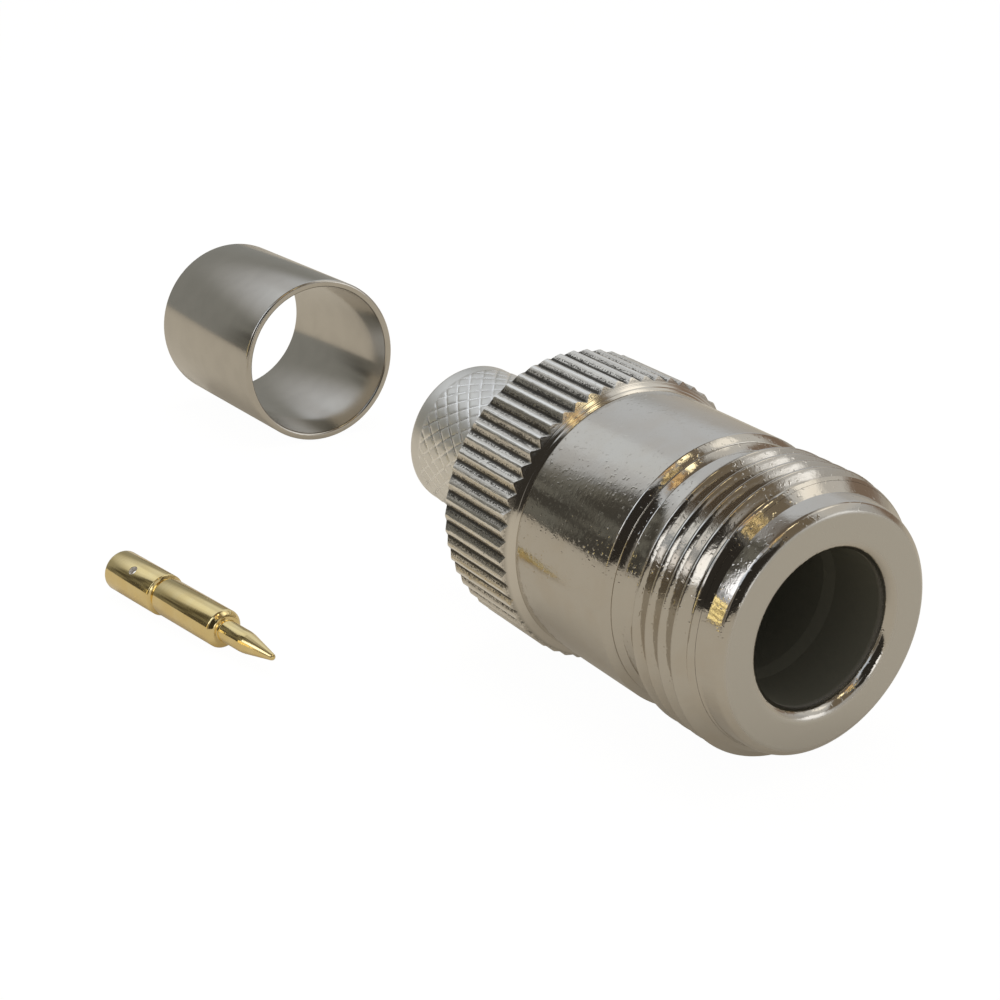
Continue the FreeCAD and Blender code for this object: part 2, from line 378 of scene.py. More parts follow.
def toothed_bar():
    half = math.pi / TEETH
    tip = math.asin(TIP_W / 2 / RING_R)
    root_r = RING_R - TOOTH_DEPTH
    stops = [(root_r, -half), (RING_R, -tip), (RING_R, tip), (root_r, half)]
    nothing_selected()
    bpy.ops.mesh.primitive_circle_add(vertices=3, radius=0.1 * MM)
    bar = bpy.context.object
    bar.name = "grip_ring"
    bpy.ops.object.mode_set(mode="EDIT")
    bpy.ops.mesh.select_all(action="SELECT")
    bpy.ops.mesh.merge(type="CENTER")
    place = Vector((0, 0, 0))
    for i, (r, angle) in enumerate(stops):
        flat = (r * math.cos(angle), r * math.sin(angle), RING_START - BAR_SPARE)
        stop = Vector(flat) * MM
        if i == 0:
            bpy.ops.transform.translate(value=stop)
        else:
            bpy.ops.mesh.extrude_region_move(TRANSFORM_OT_translate={"value": stop - place})
        place = stop
    bpy.ops.mesh.select_all(action="SELECT")
    bpy.ops.mesh.subdivide(number_cuts=2)
    bpy.ops.mesh.select_all(action="SELECT")
    bpy.ops.mesh.spin(
        steps=TEETH, dupli=True, angle=2 * math.pi, center=(0, 0, 0), axis=(0, 0, 1),
    )
    bpy.ops.mesh.select_all(action="SELECT")
    bpy.ops.mesh.remove_doubles(threshold=1e-6)
    bpy.ops.mesh.select_all(action="SELECT")
    bpy.ops.mesh.edge_face_add()
    rise = (RING_END - RING_START + 2 * BAR_SPARE) / BAR_STEPS * MM
    for _ in range(BAR_STEPS):
        bpy.ops.mesh.extrude_region_move(TRANSFORM_OT_translate={"value": (0, 0, rise)})
    bpy.ops.mesh.select_all(action="SELECT")
    bpy.ops.mesh.normals_make_consistent(inside=False)
    bpy.ops.transform.vertex_random(offset=TORN * MM, seed=4)
    bpy.ops.object.mode_set(mode="OBJECT")
    return bar


ring = toothed_bar()
print("toothed bar:", TEETH, "teeth,", len(ring.data.polygons), "faces")

# %% [markdown]
# ## Turning the ring's ends
#
# The lathe cut the front cone after the teeth were rolled, and where it crosses the V
# grooves they leave a zigzag edge. That edge needs no drawing: it comes by itself when the
# toothed bar is intersected with the turned shape by a Boolean.

# %% The turned shape, and the part that both share
BACK_CHAMFER = 0.25
turned = outline("ring_turned", [
    (SEAT_R, RING_START), (RING_STEP_R, RING_START), (RING_R, RING_START + RING_CONE),
    (RING_R, RING_END - BACK_CHAMFER), (RING_R - BACK_CHAMFER, RING_END), (SEAT_R, RING_END),
])
spin_round(turned, steps=224)
nothing_selected()
use_modifier(ring, "BOOLEAN", operation="INTERSECT", object=turned, solver="EXACT")
bpy.data.objects.remove(turned)
lay_down(ring, JACK, smooth_below=35)

# %% [markdown]
# ## The tube of the stem
#
# The stem is the tube at the back that the cable's braid is slid over. Its flange is pressed
# into the ring, it narrows under the knurled band, and its end is well rounded, so that it
# slips under the braid without cutting it.

# %% The tube
BORE_R, STEM_R = fitted_r("cable_bore"), fitted_r("braid_stem")
STEM_PLAIN_R, KNURL_ROOT_R, UNDER_KNURL_R = 4.6, 4.6, 4.42
FLANGE_START, KNURL_START, KNURL_END, STEM_END = 19.5, 23.49, 32.49, 33.59
STEM_ROUND, BORE_CHAMFER, NECK = 0.35, 0.3, 0.1
tube_end = [(BORE_R + BORE_CHAMFER, STEM_END), (BORE_R, STEM_END - BORE_CHAMFER)]
stem = outline("knurled_stem", [
    (BORE_R, FLANGE_START), (SEAT_R, FLANGE_START), (SEAT_R, RING_END),
    (STEM_PLAIN_R, RING_END), (STEM_PLAIN_R, KNURL_START),
    (UNDER_KNURL_R, KNURL_START + NECK), (UNDER_KNURL_R, KNURL_END - NECK),
    (STEM_PLAIN_R, KNURL_END), (STEM_PLAIN_R, STEM_END), *tube_end,
])
round_corners(stem, STEM_ROUND, [(STEM_PLAIN_R, STEM_END)], segments=6)
round_corners(stem, 0.05, tube_end, segments=2)
spin_round(stem, steps=232)
print("stem bore", BORE_R, "knurl", STEM_R)

# %% [markdown]
# ## The rolled diamonds
#
# The braid grips low diamonds. They are rolled in, and no operator presses a pattern into a
# curved wall. So a narrow strip of the wall gets its height from the distance to the
# crossing grooves, wide at the pads and steep beside the grooves. The strip is copied round
# with Spin, made solid with an inner wall that is sunk in the tube's, and joined to the tube.

# %% One strip of the wall
COLUMNS, ROWS = 29, 7
ACROSS, ALONG = 12, 110
STEEP, CROWN, FADE = 3.5, 0.1, 0.35
SUNK_IN_WALL = 0.04
nothing_selected()
bpy.ops.mesh.primitive_grid_add(x_subdivisions=ACROSS, y_subdivisions=ALONG, size=1)
strip = bpy.context.object
strip.name = "knurl_strip"
for vertex in strip.data.vertices:
    across, along = vertex.co.x + 0.5, vertex.co.y + 0.5
    z = KNURL_START + along * (KNURL_END - KNURL_START)
    left = (across + along * ROWS) % 1
    right = (across - along * ROWS) % 1
    pad = min(min(left, 1 - left), min(right, 1 - right)) * 2
    height = (1 - CROWN) * min(1, pad * STEEP) + CROWN * pad
    fade = min(1, (z - KNURL_START) / FADE, (KNURL_END - z) / FADE)
    knurled_r = KNURL_ROOT_R + (STEM_R - KNURL_ROOT_R) * height
    r = STEM_PLAIN_R + (knurled_r - STEM_PLAIN_R) * max(0, fade)
    angle = across * 2 * math.pi / COLUMNS
    vertex.co = Vector((r * math.cos(angle), r * math.sin(angle), z)) * MM
print("one strip of", COLUMNS, "has", len(strip.data.vertices), "points")

# %% The band, joined to the tube
bpy.ops.object.mode_set(mode="EDIT")
bpy.ops.mesh.select_all(action="SELECT")
bpy.ops.mesh.spin(
    steps=COLUMNS, dupli=True, angle=2 * math.pi, center=(0, 0, 0), axis=(0, 0, 1),
)
bpy.ops.mesh.select_all(action="SELECT")
bpy.ops.mesh.remove_doubles(threshold=1e-6)
bpy.ops.object.mode_set(mode="OBJECT")
close_inside(strip, inwards=(UNDER_KNURL_R - SUNK_IN_WALL) / STEM_PLAIN_R)
only(stem)
strip.select_set(True)
bpy.ops.object.join()
lay_down(stem, JACK, smooth_below=40)

# %% [markdown]
# ## The loose ferrule
#
# A short thin tube, which is slid over the braid and crimped. Its rims were rounded by
# tumbling, and they are what catches the light. One outline spun round gives it all.

# %% The ferrule
FERRULE_R, FERRULE_WALL, FERRULE_LEN = 6.38, 0.55, 2 * FERRULE_MIDDLE
rims = [
    (FERRULE_R - FERRULE_WALL, 0), (FERRULE_R, 0),
    (FERRULE_R, FERRULE_LEN), (FERRULE_R - FERRULE_WALL, FERRULE_LEN),
]
ferrule = outline("loose_ferrule", rims)
round_corners(ferrule, 0.2, rims, segments=5)
spin_round(ferrule, steps=256)
lay_down(ferrule, FERRULE)

# %% [markdown]
# ## The gilt pin
#
# The pin is turned with a long taper, a front section, a thin ring groove and a hollow back
# that takes the cable's core. Its outline starts and ends on the axis, so it isn't closed.

# %% The pin's outline
TIP_R, CORE_R = fitted_r("mating_pin"), fitted_r("cable_core_bore")
TAPER_LEN, TIP_LEN = 2.7, 4.85
FRONT_R, BACK_R, NOSE_R, GROOVE_R, SHOULDER_SLOPE = 1.2, 1.33, 0.92, 1.04, 0.28
GROOVE_START, BACK_START, PIN_LEN, CORE_DEPTH = 11.2, 11.54, 16.64, 4.6
point = [(0.12, 0), (0.2, 0.1)]
front = (FRONT_R, TIP_LEN + SHOULDER_SLOPE)
pin = outline("loose_pin", [
    (0, 0), *point, (TIP_R, TAPER_LEN), (TIP_R, TIP_LEN), (NOSE_R, TIP_LEN),
    front, (FRONT_R, GROOVE_START), (GROOVE_R, GROOVE_START + 0.1),
    (GROOVE_R, BACK_START - 0.1), (BACK_R, BACK_START), (BACK_R, PIN_LEN), (CORE_R, PIN_LEN),
    (CORE_R, PIN_LEN - CORE_DEPTH), (0, PIN_LEN - CORE_DEPTH - 0.3),
], closed=False)
round_corners(pin, 0.08, point, segments=3)
round_corners(pin, 0.3, [(TIP_R, TAPER_LEN)])
round_corners(pin, 0.1, [(NOSE_R, TIP_LEN), front])
round_corners(pin, 0.06, [
    (TIP_R, TIP_LEN), (FRONT_R, GROOVE_START), (BACK_R, BACK_START),
], segments=3)
round_corners(pin, 0.14, [(BACK_R, PIN_LEN), (CORE_R, PIN_LEN)])
spin_round(pin, steps=128)

# %% [markdown]
# ## The sight hole
#
# A small hole in the pin's back shows whether the cable's core is in. It is drilled as in the
# workshop, with a Boolean cut by a cylinder, and leans to the side that it shows, as it lies.

# %% Drilling the hole
SIGHT_R, SIGHT_AT, SIGHT_LEAN, DRILL_LEN = 0.31, 13.99, 36, 2.6
lean = math.radians(SIGHT_LEAN)
way = Vector((-math.sin(lean), -math.cos(lean), 0))
nothing_selected()
bpy.ops.mesh.primitive_cylinder_add(
    vertices=48, radius=SIGHT_R * MM, depth=DRILL_LEN * MM,
    location=(Vector((0, 0, SIGHT_AT)) + way * DRILL_LEN / 2) * MM,
    rotation=way.to_track_quat("Z", "Y").to_euler(),
)
drill = bpy.context.object
nothing_selected()
use_modifier(pin, "BOOLEAN", operation="DIFFERENCE", object=drill, solver="EXACT")
bpy.data.objects.remove(drill)
lay_down(pin, PIN)

# %% [markdown]
# ## A notation for finishes
#
# A finish is worked out from numbers at each point of a surface. Adding two of them takes a
# Math node, and a long sum as nodes is hard to read. Wrapping a socket in a small class lets
# Python's own signs stand for those nodes, so that a sum is written as a sum.

# %% Values that can be added and multiplied
class Wire:
    """A number in a shader that Python's own arithmetic works on."""

    def __init__(self, tree, socket):
        self.tree = tree
        self.socket = socket

    def sum(self, operation, other, reflected=False):
        node = self.tree.nodes.new("ShaderNodeMath")
        node.operation = operation
        terms = (other, self) if reflected else (self, other)
        for slot, term in zip(node.inputs, terms):
            if isinstance(term, Wire):
                self.tree.links.new(term.socket, slot)
            else:
                slot.default_value = term
        return Wire(self.tree, node.outputs[0])

    def __add__(self, other):
        return self.sum("ADD", other)

    def __sub__(self, other):
        return self.sum("SUBTRACT", other)

    def __rsub__(self, other):
        return self.sum("SUBTRACT", other, reflected=True)

    def __mul__(self, other):
        return self.sum("MULTIPLY", other)

    def __pow__(self, other):
        return self.sum("POWER", other)

    def __abs__(self):
        return self.sum("ABSOLUTE", 0.0)

    __radd__ = __add__
    __rmul__ = __mul__

    def at_least(self, other):
        return self.sum("MAXIMUM", other)


# %% [markdown]
# ## A sheet of nodes
#
# Every other kind of node comes from one method, which takes the node's settings and then
# the values or links of its sockets. The few nodes that come up all the time get a name of
# their own: a smooth step, a blend of two colours, and noise.

# %% A tree that grows by one call for each node
class Nodes:
    """A node tree that grows by one call for each node."""

    def __init__(self, tree):
        self.tree = tree

    def node(self, kind, settings, sockets, output=0):
        """Adds a node: its settings first, then the values or links of its sockets."""
        made = self.tree.nodes.new("ShaderNode" + kind)
        for name, value in settings.items():
            if name == "stops":
                self.set_stops(made.color_ramp.elements, value)
            else:
                setattr(made, name, value)
        for name, value in sockets.items():
            socket = made.inputs[name]
            if isinstance(value, Wire):
                self.tree.links.new(value.socket, socket)
            elif isinstance(value, tuple) and socket.type == "RGBA":
                socket.default_value = (*value, 1)
            else:
                socket.default_value = value
        return None if output is None else Wire(self.tree, made.outputs[output])

    def set_stops(self, elements, stops):
        """Gives a colour ramp one element for each (place, colour)."""
        while len(elements) < len(stops):
            elements.new(0.5)
        for element, (place, colour) in zip(elements, stops):
            element.position = place
            element.color = (*colour, 1)

    def ramp(self, value, low, high):
        """A smooth step from 0 at one value to 1 at another."""
        return self.node("MapRange", {"interpolation_type": "SMOOTHSTEP"}, {
            "Value": value, "From Min": low, "From Max": high,
        })

    def mix(self, factor, first, second):
        """A blend of two colours."""
        return self.node("Mix", {"data_type": "RGBA"}, {0: factor, 6: first, 7: second}, output=2)

    def noise(self, vector, scale, detail=2.0, roughness=0.5):
        return self.node("TexNoise", {}, {
            "Vector": vector, "Scale": scale, "Detail": detail, "Roughness": roughness,
        })

    def split(self, vector):
        parts = self.tree.nodes.new("ShaderNodeSeparateXYZ")
        self.tree.links.new(vector.socket, parts.inputs[0])
        return [Wire(self.tree, out) for out in parts.outputs]

    def join(self, x, y, z):
        return self.node("CombineXYZ", {}, {"X": x, "Y": y, "Z": z})


# %% [markdown]
# ## A material that knows its axis
#
# Turning marks run round the axis and knurling runs along it, so each finish needs to know
# where the axis of its piece is. A Mapping node undoes the way in which the piece was laid
# down, which gives millimetres across and along the upright piece.

# %% A finish
class Finish(Nodes):
    """A material that knows its piece's own axis: lengths in mm, x, y across and z along."""

    def __init__(self, name, berth, **constants):
        self.material = bpy.data.materials.new(name)
        self.material.use_nodes = True
        super().__init__(self.material.node_tree)
        self.shader = self.tree.nodes["Principled BSDF"]
        for socket, value in constants.items():
            self.shader.inputs[socket.replace("_", " ")].default_value = value
        where = self.node("TexCoord", {}, {}, output="Object")
        self.place = self.node("Mapping", {"vector_type": "TEXTURE"}, {
            "Vector": where, "Location": berth.front, "Rotation": berth.turns,
            "Scale": (MM, MM, MM),
        })
        self.x, self.y, self.z = self.split(self.place)
        self.r = (self.x * self.x + self.y * self.y) ** 0.5

    def feed(self, **sockets):
        for name, value in sockets.items():
            self.tree.links.new(value.socket, self.shader.inputs[name.replace("_", " ")])

    def bump(self, height, depth):
        """A relief of the given depth in millimetres."""
        self.feed(Normal=self.node("Bump", {}, {
            "Height": height, "Distance": depth * MM, "Strength": 1.0,
        }))

    def wear(self, piece):
        """Puts the finish on a piece."""
        piece.data.materials.clear()
        piece.data.materials.append(self.material)
        print(piece.name, "wears", self.material.name, "of", len(self.tree.nodes), "nodes")


# %% [markdown]
# ## Bright nickel
#
# The jack is plated with bright nickel: a warm grey mirror over turned brass. Four things
# keep it from looking like a perfect mirror. Turning leaves rings, which are noise that is
# drawn out round the axis. Plating leaves a fine orange peel and tiny nodules, which show as
# bright specks in a dark reflection. The flat front face was left matte, so its roughness
# is higher. Deep in the mouth, where little light returns, a dull dark grey is painted on the
# plate as shade, and there the plate is no longer metal and is rougher.

# %% The shell's and the thread's finish
NICKEL = (0.60, 0.57, 0.52)
NICKEL_WARM = (0.585, 0.545, 0.485)
MATTE_FACE = (0.605, 0.59, 0.555)
# The colour below is painted shade: a dull dark grey for deep in the mouth, where little light returns
PAINTED_MOUTH_SHADE = (0.135, 0.132, 0.105)
RELIEF, NODULE = 0.006, 0.006


def bright_nickel(name, mouth_shade_strength=0.0):
    """Plate with turning rings and nodules, with painted shade inside the mouth where asked."""
    finish = Finish(name, JACK)
    rings = finish.noise(finish.join(finish.r * 9, 0.0, finish.z * 9), 1.0, detail=3.0)
    peel = finish.noise(finish.place, 3.2, detail=1.5)
    stain = finish.noise(finish.place, 0.5, detail=3.0)
    grit = finish.noise(finish.place, 16.0, detail=2.0)
    spots = finish.ramp(finish.noise(finish.place, 4.5, detail=1.0), 0.60, 0.80)
    face = finish.ramp(finish.z, 0.14, 0.0)
    # Mask of the painted shade deep in the mouth bore
    mouth_shade = mouth_shade_strength * finish.ramp(finish.r, 5.0, 4.8) * finish.ramp(finish.z, 0.45, 1.0)
    plate = finish.mix(finish.ramp(stain, 0.4, 0.7), NICKEL, NICKEL_WARM)
    plate = finish.mix(face, plate, MATTE_FACE)
    finish.feed(Base_Color=finish.mix(mouth_shade, plate, PAINTED_MOUTH_SHADE))
    finish.feed(Metallic=1 - mouth_shade)
    finish.feed(Roughness=0.07 + 0.04 * stain + 0.24 * face + 0.5 * mouth_shade)
    finish.bump(0.2 * rings + 0.8 * peel + 0.2 * grit + NODULE / RELIEF * spots, RELIEF)
    return finish


# The shell gets the full painted shade deep in its mouth
bright_nickel("bright_nickel_turned", mouth_shade_strength=1.0).wear(shell)
bright_nickel("bright_nickel_thread").wear(thread)

# %% [markdown]
# ## The knurled grip's finish
#
# A knurling wheel tears the metal. So torn patches along the flanks of the teeth are rough
# and dark, and fine scratches run along the teeth. The roots of the teeth are rough too and
# get painted shade, and the ridges get a painted highlight. The cone in front and the face
# behind were turned, and keep the lathe's lines.

# %% The grip's finish
# Plain metal, a painted highlight for the ridges, and a dark for torn metal that is also painted shade
# in the roots
GRIP_METAL, GRIP_RIDGE_HIGHLIGHT, GRIP_TORN_AND_SHADE = (0.74, 0.705, 0.645), (0.92, 0.90, 0.86), (0.04, 0.036, 0.03)
grip = Finish("bright_nickel_knurled", JACK, Metallic=1.0)
along = grip.noise(grip.join(grip.x * 9, grip.y * 9, grip.z * 0.5), 1.0, detail=4.0, roughness=0.65)
crumbs = grip.noise(grip.place, 9.0, detail=3.0, roughness=0.7)
lathe_lines = grip.noise(grip.join(grip.r * 8, 0.0, grip.z * 8), 1.0, detail=1.0)
past_cone = grip.ramp(grip.z, RING_START + 0.3, RING_START + 0.8)
before_back = grip.ramp(grip.z, RING_END - 0.02, RING_END - 0.06)
on_teeth = past_cone * before_back
# Painted shade in the roots of the teeth
root = on_teeth * grip.ramp(grip.r, RING_R - 0.15, RING_R - 0.22)
# Painted highlight along the ridges of the teeth
ridge_highlight = on_teeth * grip.ramp(grip.r, RING_R - 0.035, RING_R - 0.01)
flank = on_teeth * grip.ramp(grip.r, RING_R - 0.05, RING_R - 0.16)
torn = flank * grip.ramp(crumbs + 0.5 * along, 0.70, 0.80)
# Torn patches, together with the painted shade in the roots
torn_and_root_shade = root.at_least(torn)
metal = grip.mix(ridge_highlight, GRIP_METAL, GRIP_RIDGE_HIGHLIGHT)
grip.feed(Base_Color=grip.mix(torn_and_root_shade * 0.92, metal, GRIP_TORN_AND_SHADE))
grip.feed(Roughness=0.1 + 0.1 * along * on_teeth + 0.3 * torn_and_root_shade)
scratched = (0.5 * along + 0.5 * crumbs) * on_teeth
grip.bump(scratched + 1.2 * lathe_lines * (1 - on_teeth), 0.016)
grip.wear(ring)

# %% [markdown]
# ## Satin nickel
#
# The stem and the ferrule were barrel plated, which leaves a softer, slightly cloudy sheen.
# The knurling wheel polished the bottoms of the stem's grooves, so the plate is smoother
# there, and here and there a glint is painted on them.

# %% The stem's and the ferrule's finish
# Pale plate, and a painted highlight for the glints in the grooves' bottoms
PALE_NICKEL, PAINTED_GLINT = (0.87, 0.855, 0.82), (1.0, 0.99, 0.97)


def satin_nickel(name, berth, base, rough, groove_r=0.0):
    """A soft plate, with painted glints at the bottom of the grooves that reach groove_r."""
    finish = Finish(name, berth, Metallic=1.0)
    cloud = finish.noise(finish.place, 0.6, detail=4.0)
    grain = finish.noise(finish.place, 9.0, detail=3.0)
    # Patches where a painted glint goes
    painted_glint_patches = finish.ramp(finish.noise(finish.place, 2.2, detail=2.0), 0.38, 0.50)
    bottom = finish.ramp(finish.r, groove_r + 0.03, groove_r + 0.01)
    # Painted glints, and smoother plate, at the bottoms of the grooves
    groove_polish_and_painted_glint = painted_glint_patches * bottom * finish.ramp(finish.z, KNURL_END, KNURL_END - 0.3)
    plate = finish.mix(finish.ramp(cloud, 0.35, 0.7), base, tuple(0.95 * part for part in base))
    finish.feed(Base_Color=finish.mix(groove_polish_and_painted_glint, plate, PAINTED_GLINT))
    finish.feed(Roughness=rough + 0.04 * cloud - 0.22 * groove_polish_and_painted_glint)
    finish.bump(grain, 0.0025)
    return finish


satin_nickel("satin_nickel_stem", JACK, PALE_NICKEL, 0.32, groove_r=KNURL_ROOT_R).wear(stem)
satin_nickel("satin_nickel_ferrule", FERRULE, NICKEL, 0.12).wear(ferrule)

# %% [markdown]
# ## Gold plate
#
# Gold over a polished, turned pin: fine rings round it, and little else. The sight hole
# shows the solder inside, a small dull silvery disc. It is found by its distance from the
# line along which the hole was drilled.

# %% The pin's finish
GOLD, GOLD_DEEP, SOLDER = (0.94, 0.77, 0.40), (0.92, 0.73, 0.35), (0.88, 0.86, 0.84)
gilt = Finish("gold_plate", PIN)
tone = gilt.noise(gilt.place, 0.8, detail=2.0)
rings = gilt.noise(gilt.join(gilt.r * 9, 0.0, gilt.z * 9), 1.0, detail=2.0)
plated = gilt.mix(gilt.ramp(tone, 0.35, 0.65), GOLD, GOLD_DEEP)
beside = gilt.x * math.cos(lean) - gilt.y * math.sin(lean)
beyond = gilt.z - SIGHT_AT
in_sight = gilt.ramp((beside * beside + beyond * beyond) ** 0.5, SIGHT_R + 0.03, SIGHT_R)
tinned = in_sight * gilt.ramp(gilt.r, BACK_R - 0.01, BACK_R - 0.04)
gilt.feed(Base_Color=gilt.mix(tinned, plated, SOLDER))
gilt.feed(Metallic=1 - 0.9 * tinned)
gilt.feed(Roughness=0.07 + 0.06 * rings + 0.5 * tinned)
gilt.bump(rings, 0.0025)
gilt.wear(pin)

# %% [markdown]
# ## The insulator bead
#
# A white fluoropolymer bead sits deep in the body. Its CAD solid has the right shape and
# stays, with a waxy, slightly mottled white.

# %% The bead's finish
WAX, WAX_SHADE = (0.86, 0.85, 0.82), (0.78, 0.77, 0.73)
bead = frame["nodes"]["insulator_bead"]
waxy = Finish("white_insulator", JACK, Metallic=0.0, Roughness=0.45, Subsurface_Weight=0.15)
mottle = waxy.noise(waxy.place, 1.2, detail=3.0)
waxy.feed(Base_Color=waxy.mix(waxy.ramp(mottle, 0.3, 0.7), WAX, WAX_SHADE))
waxy.bump(mottle, 0.01)
waxy.wear(bead)

# %% [markdown]
# ## What each piece stands for
#
# Shell, thread and ring are one turned piece on the real jack, so all three replace one CAD
# node. Nothing moves on this object, so every piece rides on the same body.

# %% Riding on the body, and replacing the CAD nodes
for piece, node, finish in (
    (shell, "connector_body", "bright_nickel"),
    (thread, "connector_body", "bright_nickel"),
    (ring, "connector_body", "bright_nickel"),
    (stem, "crimp_stem", "satin_nickel"),
    (ferrule, "crimp_ferrule", "satin_nickel"),
    (pin, "centre_pin", "gold_plate"),
):
    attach(piece, "root")
    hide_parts(node)
    print(piece.name, "replaces", node)

# %% [markdown]
# ## The table
#
# The set lies on a pale warm sheet. To the camera it is white and keeps a faint shadow, to
# the metal it is the warm grey that the lower half of each piece shows. Light Path tells
# the two apart, and the rest of its light comes from the paper's own matte surface.

# %% A pale sheet
WHITE, TABLE_SEEN_IN_METAL, TABLE_GLOW = (1.0, 1.0, 1.0), (0.58, 0.53, 0.45), 1.05
PAPER, PAPER_LIGHT = (0.66, 0.61, 0.52), (0.70, 0.65, 0.56)
SHEET_R, BELOW_THE_SET = 2.0, 0.00002
nothing_selected()
bpy.ops.mesh.primitive_circle_add(
    vertices=96, radius=SHEET_R, fill_type="NGON", location=(0, 0, -BELOW_THE_SET),
)
table = bpy.context.object
table.name = "table"
bpy.ops.object.transform_apply(location=True)

table_material = bpy.data.materials.new("pale_table")
table_material.use_nodes = True
table_material.node_tree.nodes.clear()
paint = Nodes(table_material.node_tree)
fibre = paint.noise(paint.node("TexCoord", {}, {}, output="Object"), 900.0, detail=3.0)
matte = paint.node("BsdfDiffuse", {}, {"Color": paint.mix(fibre, PAPER, PAPER_LIGHT)})
by_camera = paint.node("LightPath", {}, {}, output="Is Camera Ray")
by_metal = paint.node("LightPath", {}, {}, output="Is Glossy Ray")
seen_as = paint.mix(by_camera, TABLE_SEEN_IN_METAL, WHITE)
glow = paint.node("Emission", {}, {"Color": seen_as, "Strength": TABLE_GLOW})
surface = paint.node("MixShader", {}, {
    0: by_camera * 0.93 + by_metal * 0.35, 1: matte, 2: glow,
})
paint.node("OutputMaterial", {}, {"Surface": surface}, output=None)
table.data.materials.append(table_material)
print("the table is", round(table.dimensions.x, 2), "m wide")

# %% [markdown]
# ## Directions in the room
#
# Polished metal shows the room more than itself, so the room decides how it looks. It could
# be a photograph wrapped round the scene. Here it is drawn in the world's background: every
# point is a direction, with an azimuth that runs from +Y towards +X and an elevation above
# the table, both in degrees, and a panel is a soft-edged rectangle in those two.

# %% Azimuth, elevation and a panel's mask
world = bpy.data.worlds.new("light_tent")
world.use_nodes = True
world.node_tree.nodes.clear()
bpy.context.scene.world = world
room = Nodes(world.node_tree)
toward = room.node("TexCoord", {}, {}, output="Generated")
dx, dy, dz = room.split(toward)
azimuth_here = room.node("Math", {"operation": "ARCTAN2"}, {0: dx, 1: dy}) * (180 / math.pi)
elevation_here = room.node("Math", {"operation": "ARCSINE"}, {0: dz}) * (180 / math.pi)


def panel(azimuth, elevation, wide, tall, soft):
    """A mask that is 1 on a soft-edged rectangle, in degrees."""
    turned_by = room.node("Math", {"operation": "WRAP"}, {
        0: azimuth_here - azimuth, 1: 180.0, 2: -180.0,
    })
    across = room.ramp(abs(turned_by), (wide + soft) / 2, (wide - soft) / 2)
    up = room.ramp(abs(elevation_here - elevation), (tall + soft) / 2, (tall - soft) / 2)
    return across * up


print("world:", world.name)

# %% [markdown]
# ## What stands in the room
#
# What really stood round the jack is not known, but its plate shows where something bright
# or dark was. Each light or dark zone on the metal was traced back to the direction that it
# mirrors, and a panel stands there: windows behind and on the left, a black opening in front
# on the left, and brown and silver things low in front. Later panels hide earlier ones.

# %% Plain panels
light = room.node("ValToRGB", {"stops": [
    (0.0, (0.50, 0.46, 0.40)), (0.5, (0.56, 0.57, 0.58)),
    (0.8, (0.70, 0.73, 0.77)), (0.94, (0.17, 0.14, 0.11)),
]}, {"Fac": dz})
BLACK = (0.034, 0.03, 0.025)
for name, azimuth, elevation, wide, tall, soft, colour in (
    ("pale wall behind", 48, 46, 60, 40, 14, (0.68, 0.71, 0.75)),
    ("window behind", -10, 46, 26, 20, 10, (0.78, 0.82, 0.86)),
    ("brown post on the right", 91, 22, 20, 44, 10, (0.27, 0.20, 0.15)),
    ("pale wall in front", 120, 46, 50, 40, 10, (0.72, 0.71, 0.68)),
    ("lamp on that wall", 124, 49, 22, 14, 6, (1.35, 1.3, 1.2)),
    ("window in front", 137, 14, 18, 20, 6, (1.5, 1.5, 1.5)),
    ("brown curtain", 164, 46, 34, 48, 8, (0.21, 0.17, 0.12)),
    ("warm bulb over it", 172, 65, 16, 10, 4, (2.8, 2.4, 1.5)),
    ("grey chest behind", -4, 10, 80, 34, 14, (0.28, 0.28, 0.26)),
    ("dark chest on the left", -79, 14, 62, 30, 16, (0.19, 0.16, 0.12)),
    ("pale door in it", -67, 17, 12, 16, 4, (0.60, 0.62, 0.68)),
    ("window on the left", -72, 36, 20, 28, 5, (2.0, 2.05, 2.2)),
    ("sky beside it", -95, 46, 52, 28, 6, (0.72, 0.80, 0.92)),
    ("its upper pane", -81, 50, 22, 16, 6, (1.6, 1.7, 1.85)),
    ("black opening, left half", -134, 24, 44, 52, 5, BLACK),
    ("black opening, right half", -158, 16, 50, 40, 5, BLACK),
    ("dark shelf over it", -168, 47, 26, 18, 8, (0.10, 0.09, 0.07)),
    ("silver box low in front", -171, 6, 18, 12, 4, (1.6, 1.6, 1.6)),
    ("gilt edge on the table", -52, 1.2, 14, 2.6, 1.6, (0.45, 0.36, 0.18)),
    ("brown board on the left", -64, 7.5, 12, 18, 1.5, (0.20, 0.13, 0.05)),
):
    light = room.mix(panel(azimuth, elevation, wide, tall, soft), light, colour)
    print(name, "at", azimuth, elevation)

# %% [markdown]
# ## Blotted panels and bars of light
#
# A few zones on the metal are not plain: gold spots on the cones, dim blots in the dark part
# of the barrel, and a ladder of gold bars on the pilot. Noise on the direction makes the
# blots, and a zigzag of the elevation makes the bars.

# %% Blots and bars
BAR_PITCH = 2.1
BAR_GOLD = (1.9, 1.55, 0.7)
for name, azimuth, elevation, wide, tall, soft, fineness, dark, bright in (
    ("gold spots", -169, 50, 20, 11, 4, 18.0, (0.10, 0.07, 0.04), (2.0, 1.55, 0.75)),
    ("copper spots", -157, 63, 30, 12, 4, 18.0, (0.30, 0.17, 0.08), (1.3, 0.90, 0.42)),
    ("dim opening", -48, 28, 28, 72, 8, 9.0, (0.07, 0.065, 0.055), (0.18, 0.175, 0.15)),
):
    blots = room.ramp(room.noise(toward, fineness, detail=2.0), 0.45, 0.58)
    mask = panel(azimuth, elevation, wide, tall, soft)
    light = room.mix(mask, light, room.mix(blots, dark, bright))
    print(name, "at", azimuth, elevation)

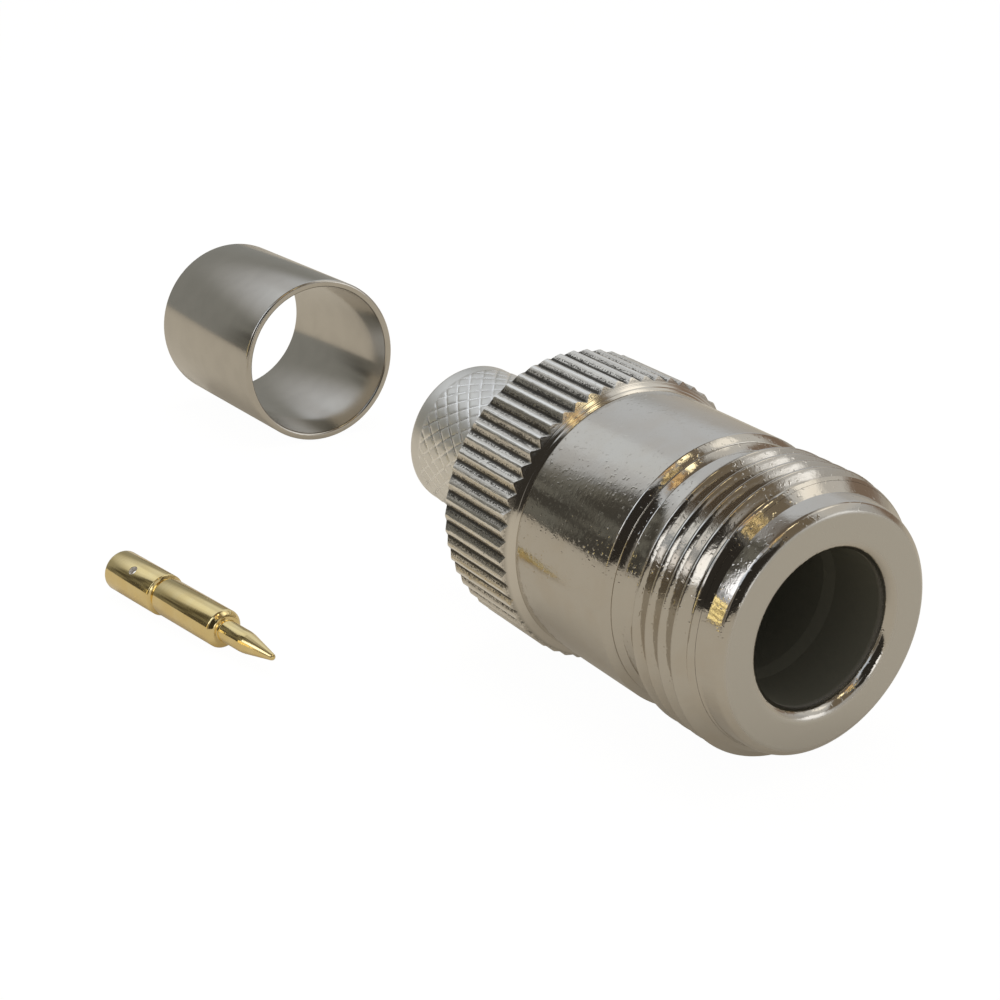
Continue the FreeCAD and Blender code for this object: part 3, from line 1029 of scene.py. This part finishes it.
zigzag = room.node("Math", {"operation": "PINGPONG"}, {0: elevation_here, 1: BAR_PITCH})
bars = panel(-64, 7.5, 12, 17, 0.6) * room.ramp(zigzag, 0.8, 1.2)
light = room.mix(bars, light, BAR_GOLD)
print("bars of light every", 2 * BAR_PITCH, "degrees")

# %% [markdown]
# ## The air
#
# Only the metal's own rays need the whole room. All others get one plain level, at which a
# colour renders about as it is written, and the camera sees white. The two are joined by a
# Mix Shader, so that Cycles skips the long branch wherever it can.

# %% Plain light, mirrored room and white background
PLAIN_LIGHT = (0.52, 0.51, 0.49)
by_camera = room.node("LightPath", {}, {}, output="Is Camera Ray")
by_metal = room.node("LightPath", {}, {}, output="Is Glossy Ray")
plain = room.node("Background", {}, {"Color": room.mix(by_camera, PLAIN_LIGHT, WHITE)})
mirrored = room.node("Background", {}, {"Color": light})
air = room.node("MixShader", {}, {0: by_metal, 1: plain, 2: mirrored})
room.node("OutputWorld", {}, {"Surface": air}, output=None)
print("the room has", len(world.node_tree.nodes), "nodes")

# %% [markdown]
# ## The lamp above
#
# One large soft lamp gives the table its faint shadows. The metal doesn't mirror it, because
# the panels already stand for all that it shows.

# %% A soft box
LAMP_PLACE, LAMP_SIZE, LAMP_POWER = Vector((0.03, 0.02, 0.40)), 0.28, 0.5
nothing_selected()
bpy.ops.object.light_add(type="AREA", location=LAMP_PLACE)
lamp = bpy.context.object
lamp.name = "soft_box"
lamp.data.shape = "DISK"
lamp.data.size = LAMP_SIZE
lamp.data.energy = LAMP_POWER
lamp.visible_glossy = False
lamp.rotation_euler = (-LAMP_PLACE).to_track_quat("-Z", "Y").to_euler()
print(lamp.name, "of", LAMP_POWER, "W, turned to the middle")

# %% [markdown]
# ## The camera
#
# A long lens from the jack's front left, looking down about twenty degrees. Its place was
# fitted together with the sizes, so that every edge falls where the photograph has it.

# %% The camera
CAMERA_PLACE = (-57.943, -104.992, 47.428)
HEADING, TILT, ROLL = -33.054, 70.132, 0.127
camera = bpy.data.objects.new("camera", bpy.data.cameras.new("camera"))
bpy.context.scene.collection.objects.link(camera)
camera.data.lens = 69.72
camera.data.sensor_width = 36
camera.data.shift_x = 0.0101
camera.data.shift_y = -0.0005
camera.data.clip_start = 0.001
camera.matrix_world = (
    Matrix.Translation(Vector(CAMERA_PLACE) * MM)
    @ Matrix.Rotation(math.radians(HEADING), 4, "Z")
    @ Matrix.Rotation(math.radians(TILT), 4, "X")
    @ Matrix.Rotation(math.radians(ROLL), 4, "Z")
)
bpy.context.scene.camera = camera
bpy.context.scene.view_settings.view_transform = "Standard"
print("camera with a lens of", camera.data.lens, "mm")
